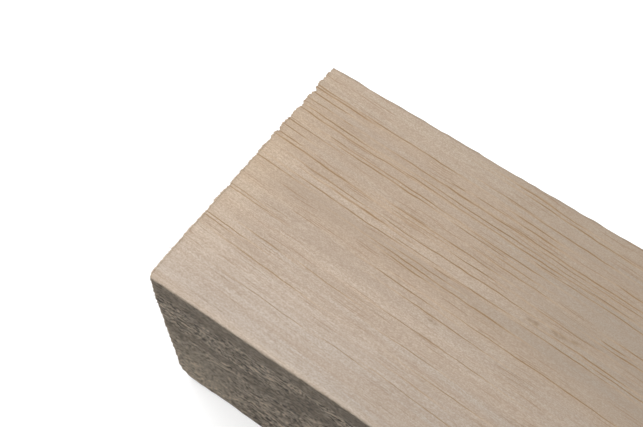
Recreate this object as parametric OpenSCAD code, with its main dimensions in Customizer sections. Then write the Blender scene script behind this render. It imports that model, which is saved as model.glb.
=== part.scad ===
// Sawn timber plank of a light, open-pored hardwood, one piece of solid stock.
// Its two wide faces are planed, its two edges are left rough from the saw, and a
// coarse cross-cut has torn the fibres at both ends, so each end has a ragged outline.
// Millimetres. X runs along the grain, Y across the wide faces, and Z is up.
// The origin is the middle of the face that the plank lies on.

/* [Stock] */
// Length along the grain, over the longest fibres
plank_length = 915; // [300:5:2400]
// Width of the planed faces
plank_width = 50; // [30:1:150]
// Thickness between the planed faces
plank_thickness = 38; // [20:1:100]

/* [Arrises] */
// Radius of the four long arrises
long_arris = 0.4; // [0.2:0.1:4]
// Radius of each end's upper edge
upper_end_edge = 0.4; // [0.2:0.1:2]
// Radius of each end's lower edge, rubbed round in handling
lower_end_edge = 4; // [0.5:0.1:6]
// Radius of each end's two upright corners
end_corner = 0.6; // [0.2:0.1:4]

/* [Torn ends] */
// Usual width of one torn bundle of fibres
bundle_width = 2.9; // [1:0.1:5]
// Depth of the deepest notch between two bundles
tear_depth = 1.1; // [0.2:0.1:1.5]
// Share of that depth at the near edge, where the saw came in cleanly
clean_share = 0.2; // [0.1:0.05:1]
// Random seed of the end at -X
left_seed = 87; // [1:1:99]
// Random seed of the end at +X
right_seed = 58; // [1:1:99]

/* [Hidden] */
$fn = 48;

// How far a cut runs past the edge that it takes off
overcut = 1;

half_length = plank_length / 2;
half_width = plank_width / 2;
bundle_count = round(plank_width / bundle_width);
bundle_pitch = plank_width / bundle_count;

// A bundle's end is drawn by a notch at its near side and then two shoulders of fibres.
points_per_bundle = 3;
// Share of the pitch over which a notch may lie off its even place
notch_wander = 0.8;
// Least depth of a notch, and greatest depth of a bundle, as shares of the local depth
notch_least = 0.5;
bundle_most = 0.6;
// Share of the local depth by which the two shoulders of a bundle may differ
shoulder_slant = 0.25;
// Places of the two shoulders between one notch and the next
shoulder_places = [0.2, 0.75];

// Depth that the saw tore at y: the further it went, the deeper.
function tear_at(y) = tear_depth * (clean_share + (1 - clean_share) * pow(y / plank_width + 0.5, 2));

// The end of one bundle between two notches, as [y, depth]. Its three draws of 0 to 1 set
// the notch, how far the bundle as a whole broke back, and the slant between its shoulders.
function bundle_end(from, to, draws) = [
    [from, tear_at(from) * (notch_least + (1 - notch_least) * draws[0])],
    for (k = [0, 1])
        let (y = from + (to - from) * shoulder_places[k])
        [y, tear_at(y) * (bundle_most * draws[1] + shoulder_slant * (draws[2] - 0.5) * (2 * k - 1))]
];

// The whole outline of one torn end, as [y, depth] from the near edge to the far one,
// where depth is measured from the longest fibre.
function torn_edge(seed) =
    let (
        wander = rands(-0.5, 0.5, bundle_count + 1, seed),
        draws = rands(0, 1, points_per_bundle * bundle_count, seed + 100),
        notches = [
            for (i = [0 : bundle_count])
                let (is_edge = i == 0 || i == bundle_count)
                i * bundle_pitch - half_width + (is_edge ? 0 : notch_wander * bundle_pitch * wander[i])
        ],
        bundles = [
            for (i = [0 : bundle_count - 1])
                let (first = points_per_bundle * i)
                each bundle_end(
                    notches[i], notches[i + 1],
                    [for (k = [0 : points_per_bundle - 1]) draws[first + k]]
                )
        ],
        outline = concat(bundles, [[half_width, tear_at(half_width) * bundle_most]]),
        longest = min([for (p = outline) p[1]])
    )
    [for (p = outline) [p[0], p[1] - longest]];

// Plan of the stock with both torn ends, counter-clockwise from the near corner at +X.
module torn_plan() {
    left = torn_edge(left_seed);
    right = torn_edge(right_seed);
    last = len(left) - 1;
    polygon(concat(
        [for (p = right) [half_length - p[1], p[0]]],
        [for (i = [last : -1 : 0]) [left[i][1] - half_length, left[i][0]]]
    ));
}

// What a radius r takes off a sharp corner that lies at the origin, with the solid in
// the first quadrant. It runs past the two edges, so that nothing thin is left on them.
module corner_waste(r) {
    difference() {
        translate([-overcut, -overcut])
            square(r + overcut);
        translate([r, r])
            circle(r);
    }
}

// Rectangle centred on x and standing on y = 0, with one radius for its two lower
// corners and another for its two upper ones.
module eased_rectangle(width, height, lower_r, upper_r) {
    difference() {
        translate([-width / 2, 0])
            square([width, height]);
        for (side = [0, 1])
            mirror([side, 0])
                translate([-width / 2, 0]) {
                    corner_waste(lower_r);
                    translate([0, height])
                        mirror([0, 1])
                            corner_waste(upper_r);
                }
    }
}

// The bar as it left the saw and the planer: the section along the whole length.
module stock_bar() {
    rotate([90, 0, 90])
        linear_extrude(plank_length, center = true)
            eased_rectangle(plank_width, plank_thickness, long_arris, long_arris);
}

// The ends as the cross-cut left them, seen from above.
module end_cuts() {
    linear_extrude(plank_thickness)
        intersection() {
            torn_plan();
            translate([0, -half_width])
                eased_rectangle(plank_length, plank_width, end_corner, end_corner);
        }
}

// The wear of the ends' upper and lower edges, seen from the near side.
module end_wear() {
    rotate([90, 0, 0])
        linear_extrude(plank_width, center = true)
            eased_rectangle(plank_length, plank_thickness, lower_end_edge, upper_end_edge);
}

module plank() {
    color([0.77, 0.69, 0.61])
        intersection() {
            stock_bar();
            end_cuts();
            end_wear();
        }
}

plank();
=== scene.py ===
import math

import bpy
import numpy as np
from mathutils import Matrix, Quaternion, Vector
from mathutils.bvhtree import BVHTree
from mathutils.geometry import delaunay_2d_cdt


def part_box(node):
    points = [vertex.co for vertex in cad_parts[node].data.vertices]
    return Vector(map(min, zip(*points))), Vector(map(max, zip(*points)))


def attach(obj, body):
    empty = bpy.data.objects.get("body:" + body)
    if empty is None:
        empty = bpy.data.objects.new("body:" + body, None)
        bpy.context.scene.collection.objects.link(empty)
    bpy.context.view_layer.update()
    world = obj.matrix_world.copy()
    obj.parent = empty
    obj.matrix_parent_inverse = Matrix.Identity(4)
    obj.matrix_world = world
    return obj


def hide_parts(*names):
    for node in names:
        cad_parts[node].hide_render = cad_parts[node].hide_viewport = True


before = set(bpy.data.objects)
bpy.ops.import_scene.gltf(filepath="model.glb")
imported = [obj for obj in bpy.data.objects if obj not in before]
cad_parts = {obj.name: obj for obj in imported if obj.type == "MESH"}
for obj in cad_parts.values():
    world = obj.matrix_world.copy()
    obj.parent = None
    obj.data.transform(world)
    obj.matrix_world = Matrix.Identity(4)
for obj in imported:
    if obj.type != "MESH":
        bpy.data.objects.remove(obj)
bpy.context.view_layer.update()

# A sawn plank of a light, open-pored hardwood. Lengths below are in millimetres, in the
# plank's own frame: X along the grain, Y across the wide faces, Z up, origin at the middle
# of the face that it lies on. The end that the camera sees is the one at -X.
MM = 0.001

_, stock_high = (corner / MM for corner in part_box("plank"))
half_length = stock_high.x
half_width = stock_high.y
thickness = stock_high.z

# Radii of the stock's edges. Each end's lower edge is a little rounder than on the bare solid.
LONG_ARRIS = 0.4
UPPER_END_EDGE = 0.4
LOWER_END_EDGE = 5.0
END_CORNER = 0.6
# How far each end's near upper corner is rubbed back, and how far that reaches across and down
CORNER_WEAR = 0.45
CORNER_WEAR_WIDTH = 1.2
CORNER_WEAR_HEIGHT = 4.5

# The skin of the plank is finest at its two ends, where the fibres are torn.
END_ZONE = 6.0
END_EDGE_RINGS = 6
END_ZONE_RINGS = 7
FINE_LENGTH = 60.0
FINE_LENGTH_STEP = 1.25
LENGTH_STEP = 3.4
# The ring that is so far along the end zone, from 0 to 1, stands at that share to this power
ZONE_CROWDING = 1.6
# Places across the width at which the outline of an end is read off the solid
OUTLINE_SAMPLES = 400
# Points of the end grain: the step between them, and how many steps they keep off the rim and stray
END_FACE_STEP = 0.6
END_FACE_CLEAR = 0.6
END_FACE_JITTER = 0.3
END_FACE_SEED = 5
# Steps round the section on the planed top, on the sawn edges and on the underside
FINE_STEPS = {"top": 0.2, "edge": 0.35, "underside": 0.6}
PLAIN_STEPS = {"top": 3.1, "edge": 0.55, "underside": 3.1}
FINE_ARC_STEPS = 5
PLAIN_ARC_STEPS = 4

# Relief of the sawn edges and of the torn ends
SAWN_DEPTH = 0.3
TUFT_LENGTH = 2.4
TUFT_WIDTH = 0.6
TEAR_DEPTH = 0.5
TEAR_WIDTH = 0.38
TEAR_HEIGHT = 1.0
# Share of the tears' depth at the near edge, where the saw came in cleanly
CLEAN_SHARE = 0.4
# How much end grain shows on the rim of an end, and the powers by which it and the tears run out
RIM_TORN = 0.45
RIM_TORN_FADE = 10
TEAR_FADE = 2
RELIEF_SEED = 3.7

# Loose fibres that stand off the ends and the sawn edges
END_FIBRES_PER_CM2 = 50.0
EDGE_FIBRES_PER_CM2 = 1.5
FIBRE_LENGTH = 0.5
FIBRE_WIDTH = 0.14
FIBRE_LEAN = 0.35
# Least and greatest size of a fibre, as shares of the width, the width and the length
FIBRE_LEAST = (0.6, 0.6, 0.4)
FIBRE_GREATEST = (1.2, 1.2, 1.5)
# How much of the end grain's colour a fibre has, and how much a place has where the end's fibres stand
FIBRE_TORN = 0.3
FIBRE_SEED = 11

# Grain of the wood: how far it runs off the length, and how it wavers
GRAIN_SLOPE = 0.036
WAVER = 0.6
WAVER_LENGTH = 30.0
WAVER_WIDTH = 6.0
KINK = 0.2
KINK_LENGTH = 4.0
KINK_WIDTH = 1.2
# Long vessels that lie open in the upper face near the end at -X: where each starts and stops, from
# that end, how far its middle is from the near edge, and its width. Elsewhere they lie at random.
OPEN_VESSELS = (
    (-1, 8, 45.5, 0.22), (-1, 13, 44.95, 0.28), (11.5, 31, 44.85, 0.25), (-1, 8.5, 43.95, 0.25),
    (-1, 6, 42.45, 0.18), (8.5, 11, 42.2, 0.18), (31, 33.5, 42.35, 0.2), (2.5, 16, 40.7, 0.22),
    (-1, 24, 39.85, 0.26), (20, 46, 41.35, 0.28), (43, 70, 40.75, 0.27), (22, 61, 39.05, 0.26),
    (27, 60, 39.7, 0.2), (9, 12.5, 38.4, 0.2), (13, 35, 37.75, 0.22), (12.5, 31, 37.25, 0.26),
    (-1, 8, 37.1, 0.18), (-1, 5.5, 35.75, 0.18), (0, 6, 34.1, 0.18), (-1, 20, 33.2, 0.27),
    (25.5, 32, 33.65, 0.26), (32, 46, 33.15, 0.25), (26, 38, 32.85, 0.16), (9, 22, 31.3, 0.17),
    (15, 26.5, 30.4, 0.32), (24, 54, 30.5, 0.2), (9, 31, 28.9, 0.26), (-1, 9.5, 28.5, 0.22),
    (29, 38, 28.9, 0.18), (31, 41, 27.1, 0.22), (26, 46, 26.1, 0.22), (45, 54.5, 25.65, 0.25),
    (30, 38, 25.45, 0.2), (40, 53, 48.2, 0.25), (44, 64, 47.2, 0.25), (36, 45, 45.35, 0.17),
    (47, 60.5, 44.65, 0.28), (43, 51, 43.4, 0.25), (36, 43, 42.45, 0.18), (45, 52, 42.3, 0.27),
    (50, 59, 40.15, 0.2), (60, 70, 39.7, 0.2), (39, 53, 36.8, 0.25), (36, 46, 36.4, 0.19),
    (44, 52, 35.4, 0.22), (45, 55, 34.2, 0.23), (50.5, 55, 38.05, 0.22), (54, 72, 37.4, 0.2),
    (60, 69, 38.45, 0.22), (38.5, 47, 31.7, 0.18), (41, 51.5, 28.15, 0.28), (37.5, 41, 28, 0.2),
    (55, 66, 31.05, 0.18), (60, 73.5, 28.3, 0.24), (68, 78, 27.5, 0.2), (55, 71, 27.15, 0.2),
    (66.5, 71, 32.6, 0.2), (67, 75, 31.85, 0.22), (69, 74, 33.6, 0.22), (63.5, 69, 41.95, 0.22),
    (-1, 9, 21, 0.22), (-1, 7, 21.6, 0.16), (30, 41.5, 22.4, 0.2), (46.5, 76, 22.4, 0.2),
    (37, 53, 20.7, 0.2), (35, 55, 16.9, 0.16), (-1, 9, 14.85, 0.2), (-1, 6, 14.3, 0.18),
    (9, 16, 16.1, 0.18), (20, 29, 16.05, 0.16), (8, 22.5, 12.4, 0.2), (14, 25, 7.5, 0.14),
    (31, 38, 7.3, 0.12), (44, 57, 7.15, 0.16), (38, 48, 13.75, 0.16), (46, 58, 11.1, 0.16),
    (43.5, 50, 9.2, 0.16),
)
# Faint knots and smudges among them, given in the same way
SMUDGES = ((54.8, 57.4, 29.1, 1.4), (59, 62.6, 29.4, 1.4), (62, 65, 29.7, 1), (42, 44, 20.1, 0.8))
# A mark fades towards its two ends, so its outline is drawn longer by this factor.
TAPER = 1.35
# Stretch over which the random vessels set in
OPEN_VESSELS_STOP = 72.0
RANDOM_VESSELS_START = 95.0
# Distance between the vessels that the ends cut across
PORE_PITCH = 0.85
# The halo of a vessel that lies at random is so many times as wide as the vessel.
HALO_REACH = 2.4

# Strips of other colours: the paler ends of the planed faces, and the rims along their two edges, the far
# one painted shade
END_PALE_LENGTH = 12.0
FAR_PALE_WIDTH = 9.0
RUBBED_RIM_WIDTH = 1.5
FAR_RIM_SHADE_WIDTH = 0.6
# On the sawn edges: the smooth strip under the upper arris, darker with painted shade, and painted bounce
# light low down near the ends
SMOOTH_SHADED_STRIP_HEIGHT = 7.0
BOUNCE_LIGHT_HEIGHT = 34.0
BOUNCE_LIGHT_LENGTH = 20.0

# Surface of the wood: its gloss, and how deep the fine relief looks that is not in the mesh
SPECULAR = 0.3
ROUGHNESS = (0.6, 0.76)
PLANED_BUMP = 0.05
ROUGH_BUMP = 0.5

# Camera, as fitted to the photograph's edges
PHOTO_WIDTH_PX = 643
FOCAL_PX = 1724
SENSOR_WIDTH = 36.0
AIM_FROM_END = 16.6
AIM_FROM_NEAR_EDGE = 25.6
CAMERA_DISTANCE = 284.2
CAMERA_AZIMUTH = math.radians(45.23)
CAMERA_ELEVATION = math.radians(60.22)
CAMERA_ROLL = math.radians(-9.04)
CLIP_START = 10.0

# Studio, in metres and watts. What the floor and the sky add to the light is less than what the
# camera sees of them. Each lamp has a place, a target, a size and a power.
FLOOR_REACH = 4.0
FLOOR_BOUNCE = 0.28
FLOOR_SEEN = 0.55
FLOOR_GLOW = 0.6
SKY_LIGHT = 0.28
SKY_SEEN = 1.0
LAMPS = {
    "key_softbox": ((-1.8, 0.4, 2.4), (0, 0, 0), (1.5, 1.5), 36),
    "top_softbox": ((0.6, 0.3, 1.4), (0.3, 0, 0), (1.6, 0.6), 8),
    "end_softbox": ((-0.68, 0, 0.26), (-0.44, 0, 0.03), (0.25, 0.25), 0.5),
    "side_softbox": ((-0.6, -0.2, 0.04), (-0.45, -0.025, 0.005), (0.12, 0.12), 0.07),
}

# Places of the plank's faces on its flat map, as (left, bottom, right, top) shares of the map.
# Lengths along the grain are drawn short and widths across it long, so thin lines stay sharp.
FLAT_MAP = {
    "underside": (0.504, 0.004, 0.996, 0.456),
    "top": (0.004, 0.004, 0.496, 0.456),
    "near": (0.004, 0.464, 0.996, 0.650),
    "far": (0.004, 0.658, 0.996, 0.844),
    "left_end": (0.004, 0.852, 0.196, 0.996),
    "right_end": (0.204, 0.852, 0.396, 0.996),
}


def shade(red, green, blue):
    """A colour given as it looks on screen, 0 to 255, as the linear colour that nodes take."""
    screen = [channel / 255 for channel in (red, green, blue)]
    linear = [c / 12.92 if c <= 0.04045 else ((c + 0.055) / 1.055) ** 2.4 for c in screen]
    return (*linear, 1.0)


def grey(level):
    """An even grey as nodes take it, from 0 to 1."""
    return (level, level, level, 1.0)


# Colours of the planed faces; the grey tone is partly painted shade, and the far rim's colour is painted
# shade
PALE_BAND = shade(203, 187, 170)
DARK_BAND = shade(183, 167, 150)
END_PALE = shade(234, 211, 182)
NEAR_PALE = shade(222, 215, 208)
FAR_DARK = shade(156, 142, 126)
FAR_PALE = shade(208, 193, 175)
GREY_TONE_AND_SHADE = shade(146, 141, 131)
RUBBED_RIM = shade(226, 214, 198)
FAR_RIM_SHADE = shade(134, 114, 92)
TAN_STREAK = shade(200, 172, 142)
WIDE_FIBRE = shade(172, 149, 128)
THIN_FIBRE = shade(164, 141, 120)
GRIT = shade(158, 136, 116)
FINE_PORE = shade(150, 128, 108)
SMUDGE = shade(136, 114, 88)
FLECK = shade(152, 120, 88)
HALO = shade(192, 160, 122)
OPEN_LINE = shade(140, 108, 70)
# Colours of the sawn edges; the tufts' tips and hollows, the patches and the strip under the arris are
# painted light and shade, and the palest colour is painted bounce light
TUFT_HOLLOW_SHADE = shade(38, 31, 23)
TUFT_TIP_HIGHLIGHT = shade(230, 212, 190)
BLOTCH = shade(102, 91, 78)
SHADE_PATCH = shade(95, 85, 72)
SMOOTH_SHADED_STRIP = shade(136, 124, 109)
PAINTED_BOUNCE_LIGHT = shade(252, 235, 210)
# Colours of the end grain
DARK_STROKE = shade(172, 150, 126)
PALE_STROKE = shade(204, 185, 162)
END_BAND = shade(170, 146, 119)
END_PORE = shade(104, 80, 56)


class Wiring:
    """Short forms for the nodes that the materials and the geometry tree share."""

    def __init__(self, tree):
        self.tree = tree

    def add(self, kind, **settings):
        node = self.tree.nodes.new(kind)
        for name, value in settings.items():
            setattr(node, name, value)
        return node

    def put(self, value, socket):
        """Links an output to the socket, or sets the socket to a plain value."""
        if isinstance(value, bpy.types.NodeSocket):
            self.tree.links.new(value, socket)
        else:
            socket.default_value = value

    def math(self, operation, first, second=0.0):
        node = self.add("ShaderNodeMath", operation=operation)
        self.put(first, node.inputs[0])
        self.put(second, node.inputs[1])
        return node.outputs[0]

    def plus(self, first, second):
        return self.math("ADD", first, second)

    def times(self, first, second):
        return self.math("MULTIPLY", first, second)

    def vector(self, operation, first, second):
        node = self.add("ShaderNodeVectorMath", operation=operation)
        self.put(first, node.inputs[0])
        self.put(second, node.inputs[1])
        return node.outputs[0]

    def scaled(self, vector, factor):
        node = self.add("ShaderNodeVectorMath", operation="SCALE")
        self.put(vector, node.inputs[0])
        self.put(factor, node.inputs["Scale"])
        return node.outputs[0]

    def axes(self, vector):
        node = self.add("ShaderNodeSeparateXYZ")
        self.put(vector, node.inputs[0])
        return tuple(node.outputs)

    def joined(self, x, y, z):
        node = self.add("ShaderNodeCombineXYZ")
        for value, socket in zip((x, y, z), node.inputs):
            self.put(value, socket)
        return node.outputs[0]

    def remap(self, value, low, high, to_low=0.0, to_high=1.0):
        """Runs smoothly from to_low to to_high as value goes from low to high."""
        node = self.add("ShaderNodeMapRange", interpolation_type="SMOOTHSTEP")
        for name, setting in (
            ("Value", value),
            ("From Min", low),
            ("From Max", high),
            ("To Min", to_low),
            ("To Max", to_high),
        ):
            self.put(setting, node.inputs[name])
        return node.outputs["Result"]

    def noise(self, vector, seed, detail=2.0):
        """Noise about one unit across, from 0 to 1 with its middle at 0.5."""
        node = self.add("ShaderNodeTexNoise", noise_dimensions="4D")
        self.put(vector, node.inputs["Vector"])
        self.put(seed, node.inputs["W"])
        node.inputs["Scale"].default_value = 1.0
        node.inputs["Detail"].default_value = detail
        return node.outputs[0]

    def cells(self, vector):
        """Distance to the nearest cell's centre in x and y, and that cell's random colour."""
        node = self.add("ShaderNodeTexVoronoi", voronoi_dimensions="2D", feature="F1")
        self.put(vector, node.inputs["Vector"])
        node.inputs["Scale"].default_value = 1.0
        return node.outputs["Distance"], node.outputs["Color"]

    def along_grain(self, vector, length, width):
        """Turns millimetres into units that are so long along the grain and so wide across it."""
        return self.vector("MULTIPLY", vector, (1 / length, 1 / width, 1 / width))

    def blend(self, factor, first, second):
        node = self.add("ShaderNodeMix", data_type="RGBA")
        self.put(factor, node.inputs["Factor"])
        colours = [socket for socket in node.inputs if socket.type == "RGBA"]
        self.put(first, colours[0])
        self.put(second, colours[1])
        return next(socket for socket in node.outputs if socket.type == "RGBA")


# Wood


def grain_millimetres(wood):
    """Object coordinates in millimetres, plain and bent so that the X lines follow the grain."""
    mapping = wood.add("ShaderNodeMapping")
    mapping.inputs["Scale"].default_value = (1 / MM, 1 / MM, 1 / MM)
    wood.put(wood.add("ShaderNodeTexCoord").outputs["Object"], mapping.inputs["Vector"])
    millimetres = mapping.outputs["Vector"]
    x, y, z = wood.axes(millimetres)
    waver_place = wood.along_grain(millimetres, WAVER_LENGTH, WAVER_WIDTH)
    kink_place = wood.along_grain(millimetres, KINK_LENGTH, KINK_WIDTH)
    sideways = wood.math("SUBTRACT", wood.noise(waver_place, seed=1.0, detail=1.0), 0.5)
    upwards = wood.math("SUBTRACT", wood.noise(waver_place, seed=2.0, detail=1.0), 0.5)
    kinks = wood.math("SUBTRACT", wood.noise(kink_place, seed=3.0, detail=1.0), 0.5)
    run_off = wood.plus(y, wood.times(x, GRAIN_SLOPE))
    bent_y = wood.plus(run_off, wood.times(sideways, 2 * WAVER))
    bent_y = wood.plus(bent_y, wood.times(kinks, 2 * KINK))
    bent_z = wood.plus(z, wood.times(upwards, 2 * WAVER))
    return millimetres, wood.joined(x, bent_y, bent_z)


def vessels(wood, place, reach, presence):
    """Hollow vessels, one to a cell at most: 1 inside one and 0 between them, and the halo round it.

    reach is the radius as a share of a cell, and presence is the share of the cells that have one.
    """
    distance, chance = wood.cells(place)
    first_draw, second_draw, _ = wood.axes(chance)
    kept = wood.math("LESS_THAN", first_draw, presence)
    strength = wood.times(kept, wood.remap(second_draw, 0.0, 1.0, 0.4, 1.0))
    core = wood.remap(distance, 0.5 * reach, reach, 1.0, 0.0)
    halo = wood.remap(distance, 0.5 * reach, HALO_REACH * reach, 1.0, 0.0)
    return wood.times(core, strength), wood.times(halo, strength)


def cut_vessels(wood, grain, presence, cell_length, cell_width, line_width):
    """Vessels that a long face has cut open: thin dashes along the grain."""
    x, y, z = wood.axes(grain)
    place = wood.along_grain(wood.joined(x, wood.plus(y, z), 0.0), cell_length, cell_width)
    return vessels(wood, place, 0.5 * line_width / cell_width, presence)


def nearest_mark(wood, grain, marks):
    """How near a place is to the nearest of the marks in the upper face: 0 at its middle, 1 at its rim."""
    nearest = 10.0
    for start, stop, from_near_edge, width in marks:
        x = (start + stop) / 2 - half_length
        middle = (x, from_near_edge - half_width + x * GRAIN_SLOPE, thickness)
        shares = (2 / (TAPER * (stop - start)), 2 / width, 0.5)
        place = wood.add("ShaderNodeVectorMath", operation="MULTIPLY_ADD")
        wood.put(grain, place.inputs[0])
        wood.put(shares, place.inputs[1])
        wood.put([-m * share for m, share in zip(middle, shares)], place.inputs[2])
        distance = wood.add("ShaderNodeVectorMath", operation="LENGTH")
        wood.put(place.outputs[0], distance.inputs[0])
        nearest = wood.math("MINIMUM", distance.outputs["Value"], nearest)
    return nearest


def tan_streaks(wood, grain):
    """Long tan streaks that are rich in vessels."""
    streaks = wood.noise(wood.along_grain(grain, 90.0, 2.2), seed=5.0)
    return wood.remap(streaks, 0.36, 0.62)


def open_lines(wood, millimetres, grain, streaks):
    """The vessels that the long faces have cut open, and the tan halo round each."""
    x, _, z = wood.axes(millimetres)
    along = wood.remap(x, OPEN_VESSELS_STOP - half_length, RANDOM_VESSELS_START - half_length)
    below = wood.remap(z, thickness - 3.0, thickness - 1.0, 1.0, 0.0)
    presence = wood.times(wood.times(streaks, 0.9), wood.math("MAXIMUM", along, below))
    lines, halos = cut_vessels(wood, grain, presence, cell_length=60.0, cell_width=0.45, line_width=0.3)
    nearest = nearest_mark(wood, grain, OPEN_VESSELS)
    lines = wood.math("MAXIMUM", lines, wood.remap(nearest, 0.55, 1.05, 1.0, 0.0))
    halos = wood.math("MAXIMUM", halos, wood.remap(nearest, 0.4, 2.3, 1.0, 0.0))
    broken = wood.noise(wood.along_grain(grain, 6.0, 0.7), seed=12.0)
    return wood.times(lines, wood.remap(broken, 0.36, 0.54, 0.6, 1.0)), halos


def surface_attribute(wood, name):
    return wood.add("ShaderNodeAttribute", attribute_name=name).outputs["Fac"]


def end_distance(wood, x):
    """How far a place is from the nearer end."""
    return wood.math("SUBTRACT", half_length, wood.math("ABSOLUTE", x))


def planed_tone_and_shade(wood, millimetres, grain):
    """Slow changes of colour over the planed faces, partly random tone and partly painted shade where the
    light falls off, with a rubbed near rim and a painted shade along the far one.
    """
    bands = wood.noise(wood.along_grain(grain, 150.0, 5.0), seed=7.0)
    colour = wood.blend(wood.remap(bands, 0.36, 0.64), PALE_BAND, DARK_BAND)
    x, y, _ = wood.axes(millimetres)
    at_end = wood.remap(end_distance(wood, x), 0.0, END_PALE_LENGTH, 0.45, 0.0)
    colour = wood.blend(at_end, colour, END_PALE)
    colour = wood.blend(wood.remap(y, -half_width, 2.0, 0.65, 0.0), colour, NEAR_PALE)
    colour = wood.blend(wood.remap(y, 0.0, half_width, 0.0, 0.45), colour, FAR_DARK)
    at_far_rim = wood.remap(y, half_width - FAR_PALE_WIDTH, half_width - 1.0, 0.0, 0.5)
    colour = wood.blend(at_far_rim, colour, FAR_PALE)
    # The grey tone is partly random tone and partly painted shade where the light falls off along the
    # plank.
    tone_and_falloff = wood.noise(wood.along_grain(millimetres, 130.0, 60.0), seed=2.5, detail=1.0)
    toned_and_shaded = wood.times(wood.remap(tone_and_falloff, 0.38, 0.62, 0.75, 0.0), wood.remap(y, -half_width, 2.0, 0.5, 1.0))
    colour = wood.blend(toned_and_shaded, colour, GREY_TONE_AND_SHADE)
    rubbed = wood.remap(y, -half_width + 0.3, -half_width + RUBBED_RIM_WIDTH, 0.5, 0.0)
    colour = wood.blend(rubbed, colour, RUBBED_RIM)
    # Painted shade along the far arris.
    painted_shade = wood.remap(y, half_width - FAR_RIM_SHADE_WIDTH, half_width - 0.1, 0.0, 0.55)
    return wood.blend(painted_shade, colour, FAR_RIM_SHADE)


def planed_colour(wood, millimetres, grain, streaks, lines, halos, flecks):
    """Colour of the planed faces: their tone, then fibres, pores, smudges and open vessels."""
    _, y, _ = wood.axes(millimetres)
    colour = planed_tone_and_shade(wood, millimetres, grain)
    colour = wood.blend(wood.times(streaks, 0.2), colour, TAN_STREAK)
    wide_fibres = wood.noise(wood.along_grain(grain, 30.0, 1.0), seed=8.0)
    wide_strength = wood.remap(y, -half_width, 5.0, 0.34, 0.18)
    streaked = wood.times(wood.remap(wide_fibres, 0.36, 0.64, 1.0, 0.0), wide_strength)
    colour = wood.blend(streaked, colour, WIDE_FIBRE)
    thin_fibres = wood.noise(wood.along_grain(grain, 5.0, 0.24), seed=9.0)
    colour = wood.blend(wood.remap(thin_fibres, 0.34, 0.66, 0.25, 0.0), colour, THIN_FIBRE)
    grit = wood.noise(wood.along_grain(grain, 0.9, 0.12), seed=11.0, detail=1.0)
    colour = wood.blend(wood.remap(grit, 0.32, 0.68, 0.34, 0.0), colour, GRIT)
    pores = wood.noise(wood.along_grain(grain, 0.32, 0.16), seed=14.0, detail=1.0)
    colour = wood.blend(wood.remap(pores, 0.36, 0.64, 0.4, 0.0), colour, FINE_PORE)
    speckle = wood.noise(wood.along_grain(grain, 1.0, 0.5), seed=13.0)
    smudges = wood.remap(nearest_mark(wood, grain, SMUDGES), 0.3, 1.1, 0.6, 0.0)
    smudges = wood.times(smudges, wood.remap(speckle, 0.35, 0.6, 0.2, 1.0))
    colour = wood.blend(smudges, colour, SMUDGE)
    calm = wood.remap(y, -half_width, 0.0, 0.5, 1.0)
    colour = wood.blend(wood.times(flecks, wood.times(calm, 0.6)), colour, FLECK)
    colour = wood.blend(wood.times(halos, 0.3), colour, HALO)
    return wood.blend(wood.times(lines, wood.times(calm, 0.72)), colour, OPEN_LINE)


def sawn_colour(wood, millimetres):
    """Colour of the rough sawn edges: the same wood, mottled by torn tufts, with painted light and shade:
    highlights on the tufts' tips, shade in their hollows, in patches and under the upper arris, and bounce
    light low down near the ends.
    """
    tufts = wood.noise(wood.along_grain(millimetres, 0.6, 0.28), seed=21.0, detail=3.0)
    hairs = wood.noise(wood.along_grain(millimetres, 1.6, 0.28), seed=24.0)
    tuft_light_and_shade = wood.times(wood.plus(tufts, hairs), 0.5)
    blotches = wood.noise(wood.along_grain(millimetres, 5.0, 0.9), seed=22.0)
    patches = wood.noise(wood.along_grain(millimetres, 20.0, 5.0), seed=23.0)
    # The tufts' bright tips are painted highlights and their dark hollows painted shade.
    colour = wood.blend(wood.remap(tuft_light_and_shade, 0.45, 0.55), TUFT_HOLLOW_SHADE, TUFT_TIP_HIGHLIGHT)
    colour = wood.blend(wood.remap(blotches, 0.36, 0.6, 0.45, 0.0), colour, BLOTCH)
    x, _, z = wood.axes(millimetres)
    # Darker patches higher up the edge: painted shade.
    painted_shade = wood.times(wood.remap(patches, 0.44, 0.64, 0.0, 0.6), wood.remap(z, 4.0, 20.0))
    colour = wood.blend(painted_shade, colour, SHADE_PATCH)
    # A smooth, darker strip under the upper arris: painted shade.
    smooth = wood.remap(z, thickness - SMOOTH_SHADED_STRIP_HEIGHT, thickness - 2.0, 0.0, 0.66)
    colour = wood.blend(smooth, colour, SMOOTH_SHADED_STRIP)
    # Painted bounce light: the edge is paler low down, most near the ends.
    bounce_low_down = wood.remap(z, 0.0, BOUNCE_LIGHT_HEIGHT, 0.22, 0.0)
    at_end = wood.remap(end_distance(wood, x), 4.0, BOUNCE_LIGHT_LENGTH, 1.0, 0.1)
    return wood.blend(wood.times(bounce_low_down, at_end), colour, PAINTED_BOUNCE_LIGHT)


def end_colour(wood, millimetres):
    """Colour of the torn ends, with the strokes of the saw and the vessels cut across."""
    strokes = wood.noise(wood.vector("DIVIDE", millimetres, (40.0, 0.4, 3.0)), seed=31.0, detail=3.0)
    bands = wood.noise(wood.along_grain(millimetres, 200.0, 7.0), seed=32.0)
    colour = wood.blend(wood.remap(strokes, 0.32, 0.68), DARK_STROKE, PALE_STROKE)
    colour = wood.blend(wood.remap(bands, 0.4, 0.65, 0.0, 0.4), colour, END_BAND)
    _, y, z = wood.axes(millimetres)
    place = wood.scaled(wood.joined(y, z, 0.0), 1 / PORE_PITCH)
    pores, _ = vessels(wood, place, reach=0.2, presence=0.6)
    return wood.blend(pores, colour, END_PORE)


def bumped(wood, height, depth, normal=None):
    """The surface's direction, bent by a relief of that depth in millimetres."""
    node = wood.add("ShaderNodeBump")
    node.inputs["Strength"].default_value = 1.0
    node.inputs["Distance"].default_value = depth * MM
    wood.put(height, node.inputs["Height"])
    if normal is not None:
        wood.put(normal, node.inputs["Normal"])
    return node.outputs["Normal"]


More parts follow.
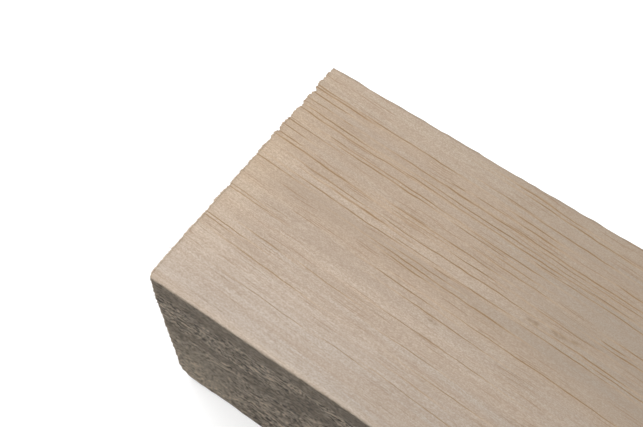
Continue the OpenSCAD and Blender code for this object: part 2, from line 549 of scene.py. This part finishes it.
def plank_wood():
    material = bpy.data.materials.new("plank_wood")
    material.use_nodes = True
    wood = Wiring(material.node_tree)
    shader = material.node_tree.nodes["Principled BSDF"]
    shader.inputs["Specular IOR Level"].default_value = SPECULAR

    millimetres, grain = grain_millimetres(wood)
    streaks = tan_streaks(wood, grain)
    lines, halos = open_lines(wood, millimetres, grain, streaks)
    presence = wood.plus(0.15, wood.times(streaks, 0.5))
    flecks, _ = cut_vessels(wood, grain, presence, cell_length=16.0, cell_width=0.32, line_width=0.16)
    sawn = surface_attribute(wood, "sawn")
    torn = surface_attribute(wood, "torn")

    colour = planed_colour(wood, millimetres, grain, streaks, lines, halos, flecks)
    colour = wood.blend(sawn, colour, sawn_colour(wood, millimetres))
    colour = wood.blend(torn, colour, end_colour(wood, millimetres))
    wood.put(colour, shader.inputs["Base Color"])

    fibres = wood.noise(wood.along_grain(grain, 3.0, 0.14), seed=41.0)
    wood.put(wood.remap(fibres, 0.3, 0.7, *ROUGHNESS), shader.inputs["Roughness"])

    rough = wood.math("MAXIMUM", sawn, torn)
    smooth = wood.math("SUBTRACT", 1.0, rough)
    hollows = wood.plus(lines, wood.times(flecks, 0.5))
    planed_height = wood.math("SUBTRACT", wood.times(fibres, 0.5), hollows)
    tufts = wood.noise(wood.along_grain(millimetres, 0.8, 0.25), seed=43.0, detail=3.0)
    normal = bumped(wood, wood.times(planed_height, smooth), PLANED_BUMP)
    normal = bumped(wood, wood.times(tufts, rough), ROUGH_BUMP, normal)
    wood.put(normal, shader.inputs["Normal"])
    return material


# Skin of the plank


class SectionPoint:
    """A point of the section: its place, the way out of the wood, and how rough the surface is there."""

    def __init__(self, y, z, out_y, out_z, sawn):
        self.y = y
        self.z = z
        self.out_y = out_y
        self.out_z = out_z
        self.sawn = sawn
        self.girth = 0.0

    def face(self):
        if abs(self.out_z) > abs(self.out_y):
            return "top" if self.out_z > 0 else "underside"
        return "far" if self.out_y > 0 else "near"


def straight_run(start, end, out, step, sawn):
    """Points from start up to, but not including, end."""
    count = max(1, round(math.dist(start, end) / step))
    points = []
    for i in range(count):
        share = i / count
        y = start[0] + (end[0] - start[0]) * share
        z = start[1] + (end[1] - start[1]) * share
        points.append(SectionPoint(y, z, *out, sawn))
    return points


def arris_run(centre, radius, from_angle, to_angle, steps, sawn):
    """Points round an arris, where one face's roughness runs into the other's."""
    points = []
    for i in range(steps):
        share = i / steps
        angle = math.radians(from_angle + (to_angle - from_angle) * share)
        out = (math.cos(angle), math.sin(angle))
        y = centre[0] + radius * out[0]
        z = centre[1] + radius * out[1]
        points.append(SectionPoint(y, z, *out, sawn[0] + (sawn[1] - sawn[0]) * share))
    return points


def section_outline(steps, arc_steps):
    """The section, from its near lower arris up the near edge, over the top and down the far edge."""
    low = LONG_ARRIS
    high = thickness - LONG_ARRIS
    inner = half_width - LONG_ARRIS
    points = straight_run((-half_width, low), (-half_width, high), (-1, 0), steps["edge"], 1.0)
    points += arris_run((-inner, high), LONG_ARRIS, 180, 90, arc_steps, (1.0, 0.0))
    points += straight_run((-inner, thickness), (inner, thickness), (0, 1), steps["top"], 0.0)
    points += arris_run((inner, high), LONG_ARRIS, 90, 0, arc_steps, (0.0, 1.0))
    points += straight_run((half_width, high), (half_width, low), (1, 0), steps["edge"], 1.0)
    points += arris_run((inner, low), LONG_ARRIS, 0, -90, arc_steps, (1.0, 0.0))
    points += straight_run((inner, 0.0), (-inner, 0.0), (0, -1), steps["underside"], 0.0)
    points += arris_run((-inner, low), LONG_ARRIS, -90, -180, arc_steps, (0.0, 1.0))
    for before, point in zip(points, points[1:]):
        point.girth = before.girth + math.hypot(point.y - before.y, point.z - before.z)
    return points


def rounding(distance, radius):
    """How far a rounded edge falls back at a distance in from the edge."""
    short = max(0.0, radius - max(0.0, distance))
    return radius - math.sqrt(radius ** 2 - short ** 2)


class TornEnd:
    """One torn end: how far short of the full length the wood stops at each place of the section."""

    def __init__(self, node, side):
        self.side = side
        self.name = "left_end" if side < 0 else "right_end"
        tree = BVHTree.FromObject(node, bpy.context.evaluated_depsgraph_get())
        inside = half_width - END_CORNER
        self.samples = np.linspace(-inside, inside, OUTLINE_SAMPLES)
        inwards = Vector((-side, 0, 0))
        hits = [
            tree.ray_cast(Vector((side * (half_length + 1), y, thickness / 2)) * MM, inwards)[0]
            for y in self.samples
        ]
        self.depths = [half_length - abs(hit.x) / MM for hit in hits]

    def short_by(self, y, z):
        tear = float(np.interp(y, self.samples, self.depths))
        corner = rounding(half_width - abs(y), END_CORNER)
        wear = max(rounding(z, LOWER_END_EDGE), rounding(thickness - z, UPPER_END_EDGE))
        across = (y + half_width) / CORNER_WEAR_WIDTH
        down = (thickness - z) / CORNER_WEAR_HEIGHT
        rubbed = CORNER_WEAR * max(0.0, 1 - math.hypot(across, down))
        return max(tear, corner, wear) + rubbed


class Skin:
    """Collects the vertices and faces of the plank's surface."""

    def __init__(self):
        self.places = []
        self.marks = {"sawn": [], "torn": [], "pulled": []}
        self.faces = []
        self.islands = []
        self.spots = []

    def vertex(self, place, sawn, torn, pulled):
        """pulled is how much of the torn end's own relief the vertex follows."""
        self.places.append(place)
        for name, mark in (("sawn", sawn), ("torn", torn), ("pulled", pulled)):
            self.marks[name].append(mark)
        return len(self.places) - 1

    def long_face(self, corners, points, girth):
        """A face of the four long sides; points are the section points of its corners."""
        first = points[0]
        spots = []
        for corner, point in zip(corners, points):
            turn = point.girth
            if first.face() == "near" and turn > girth / 2:
                turn -= girth
            spots.append((self.places[corner][0], turn))
        self.faces.append(corners)
        self.islands.append(first.face())
        self.spots.append(spots)

    def end_face(self, corners, end):
        self.faces.append(corners)
        self.islands.append(end.name)
        self.spots.append([self.places[corner][1:] for corner in corners])


def edge_ring(skin, outline, end, inset_share):
    """A ring on the end, a share of the corners' radius in from the long faces."""
    ring = []
    for point in outline:
        y = point.y - inset_share * END_CORNER * point.out_y
        z = point.z - inset_share * END_CORNER * point.out_z
        x = end.side * (half_length - end.short_by(y, z))
        torn = RIM_TORN + (1 - RIM_TORN) * inset_share
        ring.append(skin.vertex((x, y, z), point.sawn, torn, 1.0))
    return ring


def zone_ring(skin, outline, end, run):
    """A ring round the long faces, so far along the end zone, where the end's tears run out."""
    ring = []
    for point in outline:
        start = end.short_by(point.y, point.z)
        along = start + (END_ZONE - start) * run ** ZONE_CROWDING
        x = end.side * (half_length - along)
        torn = RIM_TORN * (1 - run) ** RIM_TORN_FADE
        pulled = (1 - run) ** TEAR_FADE
        ring.append(skin.vertex((x, point.y, point.z), point.sawn, torn, pulled))
    return ring


def join_rings(skin, lower, upper, outline, end=None):
    """Quads between two rings of one outline; lower is the one at the smaller x."""
    count = len(outline)
    girth = outline[-1].girth
    for i in range(count):
        j = (i + 1) % count
        corners = (lower[i], upper[i], upper[j], lower[j])
        if end is None:
            skin.long_face(corners, [outline[i], outline[i], outline[j], outline[j]], girth)
        else:
            skin.end_face(corners, end)


def zip_rings(skin, lower, upper, lower_outline, upper_outline):
    """Triangles between two rings of different outlines that start at the same place."""
    girth = lower_outline[-1].girth
    lower_stops = [point.girth for point in lower_outline[1:]] + [math.inf]
    upper_stops = [point.girth for point in upper_outline[1:]] + [math.inf]
    i = 0
    j = 0
    while i < len(lower) or j < len(upper):
        a = i % len(lower)
        b = j % len(upper)
        upper_is_next = i == len(lower) or (j < len(upper) and upper_stops[j] < lower_stops[i])
        if upper_is_next:
            c = (b + 1) % len(upper)
            corners = (lower[a], upper[b], upper[c])
            points = [lower_outline[a], upper_outline[b], upper_outline[c]]
            j += 1
        else:
            c = (a + 1) % len(lower)
            corners = (lower[a], upper[b], lower[c])
            points = [lower_outline[a], upper_outline[b], lower_outline[c]]
            i += 1
        skin.long_face(corners, points, girth)


def torn_face(skin, ring, end):
    """The end grain inside the innermost ring of the end."""
    draws = np.random.default_rng(END_FACE_SEED + end.side)
    rim = np.array([skin.places[i][1:] for i in ring])
    clear = END_FACE_CLEAR * END_FACE_STEP
    low = rim.min(axis=0) + clear
    high = rim.max(axis=0) - clear
    columns = np.arange(low[0], high[0], END_FACE_STEP)
    rows = np.arange(low[1], high[1], END_FACE_STEP)
    grid = np.array([(y, z) for y in columns for z in rows])
    grid += draws.uniform(-END_FACE_JITTER, END_FACE_JITTER, grid.shape) * END_FACE_STEP
    grid = np.clip(grid, low, high)
    points = [Vector(place) for place in np.concatenate([rim, grid])]
    places, _, triangles, sources, _, _ = delaunay_2d_cdt(points, [], [list(range(len(ring)))], 1, 1e-6)
    indices = []
    for place, source in zip(places, sources):
        if source and source[0] < len(ring):
            indices.append(ring[source[0]])
        else:
            x = end.side * (half_length - end.short_by(*place))
            indices.append(skin.vertex((x, *place), 0.0, 1.0, 1.0))
    for triangle in triangles:
        corners = tuple(indices[i] for i in triangle)
        skin.end_face(corners if end.side > 0 else corners[::-1], end)


def end_rings(skin, outline, end):
    """All rings of one end, from the end grain outwards and then along the plank."""
    turns = [i / (END_EDGE_RINGS - 1) * math.pi / 2 for i in range(END_EDGE_RINGS - 1)]
    worn = [edge_ring(skin, outline, end, 1 - math.sin(turn)) for turn in turns]
    runs = [i / END_ZONE_RINGS for i in range(END_ZONE_RINGS + 1)]
    zone = [zone_ring(skin, outline, end, run) for run in runs]
    rings = worn + zone
    for place, (outer, inner) in enumerate(zip(rings, rings[1:])):
        lower, upper = (outer, inner) if end.side < 0 else (inner, outer)
        join_rings(skin, lower, upper, outline, end if place < len(worn) else None)
    torn_face(skin, rings[0], end)
    return rings


def ring_places():
    """Places of the rings between the two end zones, closer together near the ends."""
    reach = half_length - END_ZONE - FINE_LENGTH_STEP
    turn = half_length - FINE_LENGTH
    outer = np.linspace(-reach, -turn, round((reach - turn) / FINE_LENGTH_STEP), endpoint=False)
    inner = np.linspace(-turn, turn, round(2 * turn / LENGTH_STEP))
    return np.concatenate([outer, inner, -outer[::-1]])


def plank_skin():
    """The whole closed surface of the plank, before its fine relief."""
    skin = Skin()
    fine = section_outline(FINE_STEPS, FINE_ARC_STEPS)
    plain = section_outline(PLAIN_STEPS, PLAIN_ARC_STEPS)
    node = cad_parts["plank"]
    left = end_rings(skin, fine, TornEnd(node, -1))
    right = end_rings(skin, fine, TornEnd(node, 1))
    middle = [
        [skin.vertex((x, point.y, point.z), point.sawn, 0.0, 0.0) for point in plain]
        for x in ring_places()
    ]
    for lower, upper in zip(middle, middle[1:]):
        join_rings(skin, lower, upper, plain)
    zip_rings(skin, left[-1], middle[0], fine, plain)
    zip_rings(skin, middle[-1], right[-1], plain, fine)
    return skin


def lay_flat(mesh, skin):
    """Gives the mesh its flat map, with each face of the plank in its own place."""
    corners = np.array([spot for spots in skin.spots for spot in spots], float)
    islands = np.repeat(skin.islands, [len(spots) for spots in skin.spots])
    flat = np.zeros_like(corners)
    for name, place in FLAT_MAP.items():
        here = islands == name
        low = corners[here].min(axis=0)
        high = corners[here].max(axis=0)
        share = (corners[here] - low) / (high - low)
        flat[here] = np.array(place[:2]) + share * (np.array(place[2:]) - np.array(place[:2]))
    mesh.uv_layers.new(name="OFBake").data.foreach_set("uv", flat.ravel())


def skin_mesh(skin):
    mesh = bpy.data.meshes.new("plank_skin")
    mesh.from_pydata([tuple(c * MM for c in place) for place in skin.places], [], skin.faces)
    lay_flat(mesh, skin)
    for name, values in skin.marks.items():
        mesh.attributes.new(name, "FLOAT", "POINT").data.foreach_set("value", values)
    mesh.shade_smooth()
    return mesh


# Relief and loose fibres


class SurfaceTree(Wiring):
    """A geometry tree with named inputs, and the nodes that only geometry has."""

    def __init__(self, name, inputs):
        super().__init__(bpy.data.node_groups.new(name, "GeometryNodeTree"))
        face = self.tree.interface
        face.new_socket("Geometry", in_out="INPUT", socket_type="NodeSocketGeometry")
        face.new_socket("Geometry", in_out="OUTPUT", socket_type="NodeSocketGeometry")
        self.keys = {
            label: face.new_socket(label, in_out="INPUT", socket_type=kind).identifier
            for label, kind in inputs.items()
        }
        self.given = self.add("NodeGroupInput").outputs
        self.result = self.add("NodeGroupOutput").inputs[0]

    def mark(self, name):
        node = self.add("GeometryNodeInputNamedAttribute", data_type="FLOAT")
        node.inputs["Name"].default_value = name
        return node.outputs["Attribute"]

    def moved(self, geometry, offset):
        node = self.add("GeometryNodeSetPosition")
        self.put(geometry, node.inputs["Geometry"])
        self.put(offset, node.inputs["Offset"])
        return node.outputs["Geometry"]

    def marked(self, geometry, name, value):
        node = self.add("GeometryNodeStoreNamedAttribute", data_type="FLOAT", domain="POINT")
        self.put(geometry, node.inputs["Geometry"])
        node.inputs["Name"].default_value = name
        node.inputs["Value"].default_value = value
        return node.outputs["Geometry"]

    def draw(self, low, high, seed):
        """A random vector for each point, between low and high."""
        node = self.add("FunctionNodeRandomValue", data_type="FLOAT_VECTOR")
        node.inputs[0].default_value = low
        node.inputs[1].default_value = high
        self.put(seed, node.inputs["Seed"])
        return node.outputs[0]


def sawn_relief(tree, position):
    """Tufts and hollows that the saw left on the edges, as a move out of or into the wood."""
    given = tree.given
    size = tree.joined(given["Tuft length"], given["Tuft width"], given["Tuft width"])
    tufts = tree.noise(tree.vector("DIVIDE", position, size), given["Relief seed"], 3.0)
    inwards = tree.times(tree.remap(tufts, 0.25, 0.75, -0.4, 0.6), given["Sawn depth"])
    inwards = tree.times(inwards, tree.mark("sawn"))
    normal = tree.add("GeometryNodeInputNormal").outputs[0]
    return tree.scaled(normal, tree.times(inwards, -1.0))


def torn_relief(tree, position):
    """Fibres that broke at different lengths, as a move along the plank."""
    given = tree.given
    x, y, z = tree.axes(position)
    side = tree.math("SIGN", x)
    size = tree.joined(1.0, given["Tear width"], given["Tear height"])
    place = tree.vector("DIVIDE", tree.joined(side, y, z), size)
    tears = tree.remap(tree.noise(place, given["Relief seed"], 3.0), 0.25, 0.75)
    depth = tree.times(tree.times(tears, given["Tear depth"]), tree.mark("pulled"))
    depth = tree.times(depth, tree.remap(y, -half_width * MM, half_width * MM, CLEAN_SHARE, 1.0))
    return tree.joined(tree.times(tree.times(side, depth), -1.0), 0.0, 0.0)


def loose_fibres(tree, surface):
    """Slivers that stand off the torn ends and the sawn edges, leaning along the plank."""
    given = tree.given
    ends = tree.times(tree.math("GREATER_THAN", tree.mark("torn"), FIBRE_TORN), given["End fibres"])
    _, _, height = tree.axes(tree.add("GeometryNodeInputPosition").outputs[0])
    clear_of_floor = tree.math("GREATER_THAN", height, LOWER_END_EDGE * MM)
    edges = tree.times(tree.mark("sawn"), given["Edge fibres"])
    scatter = tree.add("GeometryNodeDistributePointsOnFaces")
    tree.put(surface, scatter.inputs["Mesh"])
    density = tree.times(tree.math("MAXIMUM", ends, edges), clear_of_floor)
    tree.put(density, scatter.inputs["Density"])
    tree.put(given["Fibre seed"], scatter.inputs["Seed"])

    lean = tree.draw((-FIBRE_LEAN,) * 3, (FIBRE_LEAN,) * 3, given["Fibre seed"])
    align = tree.add("FunctionNodeAlignRotationToVector", axis="Z")
    tree.put(tree.vector("ADD", scatter.outputs["Normal"], lean), align.inputs["Vector"])
    sliver = tree.add("GeometryNodeMeshCone")
    sliver.inputs["Vertices"].default_value = 3
    for label, value in (("Radius Bottom", 0.5), ("Radius Top", 0.0), ("Depth", 1.0)):
        sliver.inputs[label].default_value = value
    shape = tree.marked(sliver.outputs["Mesh"], "torn", FIBRE_TORN)

    stand = tree.add("GeometryNodeInstanceOnPoints")
    tree.put(scatter.outputs["Points"], stand.inputs["Points"])
    tree.put(shape, stand.inputs["Instance"])
    tree.put(align.outputs["Rotation"], stand.inputs["Rotation"])
    size = tree.joined(given["Fibre width"], given["Fibre width"], given["Fibre length"])
    spread = tree.draw(FIBRE_LEAST, FIBRE_GREATEST, tree.plus(given["Fibre seed"], 1.0))
    tree.put(tree.vector("MULTIPLY", size, spread), stand.inputs["Scale"])
    return stand.outputs["Instances"]


def surface_tree():
    tree = SurfaceTree("sawn_and_torn_surface", {
        "Sawn depth": "NodeSocketFloat",
        "Tuft length": "NodeSocketFloat",
        "Tuft width": "NodeSocketFloat",
        "Tear depth": "NodeSocketFloat",
        "Tear width": "NodeSocketFloat",
        "Tear height": "NodeSocketFloat",
        "Relief seed": "NodeSocketFloat",
        "End fibres": "NodeSocketFloat",
        "Edge fibres": "NodeSocketFloat",
        "Fibre length": "NodeSocketFloat",
        "Fibre width": "NodeSocketFloat",
        "Fibre seed": "NodeSocketInt",
        "Wood": "NodeSocketMaterial",
    })
    position = tree.add("GeometryNodeInputPosition").outputs[0]
    offset = tree.vector("ADD", sawn_relief(tree, position), torn_relief(tree, position))
    surface = tree.moved(tree.given["Geometry"], offset)
    join = tree.add("GeometryNodeJoinGeometry")
    tree.put(loose_fibres(tree, surface), join.inputs[0])
    tree.put(surface, join.inputs[0])
    realize = tree.add("GeometryNodeRealizeInstances")
    tree.put(join.outputs[0], realize.inputs[0])
    finish = tree.add("GeometryNodeSetMaterial")
    tree.put(realize.outputs[0], finish.inputs["Geometry"])
    tree.put(tree.given["Wood"], finish.inputs["Material"])
    tree.put(finish.outputs[0], tree.result)
    return tree


def plank_piece():
    """The plank with its relief and loose fibres, as one plain mesh."""
    base = bpy.data.objects.new("plank_base", skin_mesh(plank_skin()))
    bpy.context.scene.collection.objects.link(base)
    tree = surface_tree()
    modifier = base.modifiers.new("surface", "NODES")
    modifier.node_group = tree.tree
    per_cm2 = 1e4
    for label, value in {
        "Sawn depth": SAWN_DEPTH * MM,
        "Tuft length": TUFT_LENGTH * MM,
        "Tuft width": TUFT_WIDTH * MM,
        "Tear depth": TEAR_DEPTH * MM,
        "Tear width": TEAR_WIDTH * MM,
        "Tear height": TEAR_HEIGHT * MM,
        "Relief seed": RELIEF_SEED,
        "End fibres": END_FIBRES_PER_CM2 * per_cm2,
        "Edge fibres": EDGE_FIBRES_PER_CM2 * per_cm2,
        "Fibre length": FIBRE_LENGTH * MM,
        "Fibre width": FIBRE_WIDTH * MM,
        "Fibre seed": FIBRE_SEED,
        "Wood": plank_wood(),
    }.items():
        modifier[tree.keys[label]] = value
    graph = bpy.context.evaluated_depsgraph_get()
    mesh = bpy.data.meshes.new_from_object(base.evaluated_get(graph))
    bpy.data.objects.remove(base)
    mesh.name = "plank_wood"
    piece = bpy.data.objects.new("plank_wood", mesh)
    bpy.context.scene.collection.objects.link(piece)
    return piece


# Studio


def seen_rays(tree):
    """1 for the rays that show the studio itself: camera, glossy and transmission."""
    rays = tree.add("ShaderNodeLightPath").outputs
    seen = tree.math("MAXIMUM", rays["Is Camera Ray"], rays["Is Glossy Ray"])
    return tree.math("MAXIMUM", seen, rays["Is Transmission Ray"])


def studio_floor():
    """A pale floor that the camera sees as white, with the plank's shadow on it."""
    material = bpy.data.materials.new("studio_floor")
    material.use_nodes = True
    material.node_tree.nodes.clear()
    floor = Wiring(material.node_tree)
    bounce = floor.add("ShaderNodeBsdfDiffuse")
    bounce.inputs["Color"].default_value = grey(FLOOR_BOUNCE)
    face = floor.add("ShaderNodeBsdfDiffuse")
    face.inputs["Color"].default_value = grey(FLOOR_SEEN)
    glow = floor.add("ShaderNodeEmission")
    glow.inputs["Strength"].default_value = FLOOR_GLOW
    white = floor.add("ShaderNodeAddShader")
    floor.put(face.outputs[0], white.inputs[0])
    floor.put(glow.outputs[0], white.inputs[1])
    mix = floor.add("ShaderNodeMixShader")
    floor.put(seen_rays(floor), mix.inputs[0])
    floor.put(bounce.outputs[0], mix.inputs[1])
    floor.put(white.outputs[0], mix.inputs[2])
    floor.put(mix.outputs[0], floor.add("ShaderNodeOutputMaterial").inputs["Surface"])

    reach = FLOOR_REACH
    corners = [(-reach, -reach, 0), (reach, -reach, 0), (reach, reach, 0), (-reach, reach, 0)]
    mesh = bpy.data.meshes.new("studio_floor")
    mesh.from_pydata(corners, [], [(0, 1, 2, 3)])
    mesh.materials.append(material)
    obj = bpy.data.objects.new("studio_floor", mesh)
    bpy.context.scene.collection.objects.link(obj)


def studio_world():
    world = bpy.data.worlds.new("studio")
    bpy.context.scene.world = world
    world.use_nodes = True
    sky = Wiring(world.node_tree)
    background = world.node_tree.nodes["Background"]
    background.inputs["Color"].default_value = grey(1.0)
    sky.put(sky.remap(seen_rays(sky), 0.0, 1.0, SKY_LIGHT, SKY_SEEN), background.inputs["Strength"])


def softbox(name, place, target, size, power):
    light = bpy.data.lights.new(name, "AREA")
    light.shape = "RECTANGLE"
    light.size, light.size_y = size
    light.energy = power
    obj = bpy.data.objects.new(name, light)
    obj.location = place
    obj.rotation_euler = (Vector(target) - Vector(place)).to_track_quat("-Z", "Y").to_euler()
    bpy.context.scene.collection.objects.link(obj)


def photo_camera():
    data = bpy.data.cameras.new("photo_camera")
    data.sensor_width = SENSOR_WIDTH
    data.lens = FOCAL_PX / PHOTO_WIDTH_PX * SENSOR_WIDTH
    data.clip_start = CLIP_START * MM
    camera = bpy.data.objects.new("photo_camera", data)
    aim = Vector((AIM_FROM_END - half_length, AIM_FROM_NEAR_EDGE - half_width, thickness))
    flat = math.cos(CAMERA_ELEVATION)
    back = Vector((
        flat * math.sin(CAMERA_AZIMUTH),
        -flat * math.cos(CAMERA_AZIMUTH),
        math.sin(CAMERA_ELEVATION),
    ))
    camera.location = (aim + CAMERA_DISTANCE * back) * MM
    level = (-back).to_track_quat("-Z", "Y")
    camera.rotation_mode = "QUATERNION"
    camera.rotation_quaternion = level @ Quaternion((0, 0, 1), CAMERA_ROLL)
    bpy.context.scene.collection.objects.link(camera)
    bpy.context.scene.camera = camera


photo_camera()
plank = plank_piece()
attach(plank, "root")
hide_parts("plank")
studio_floor()
studio_world()
for lamp_name, settings in LAMPS.items():
    softbox(lamp_name, *settings)
bpy.context.scene.view_settings.view_transform = "Standard"
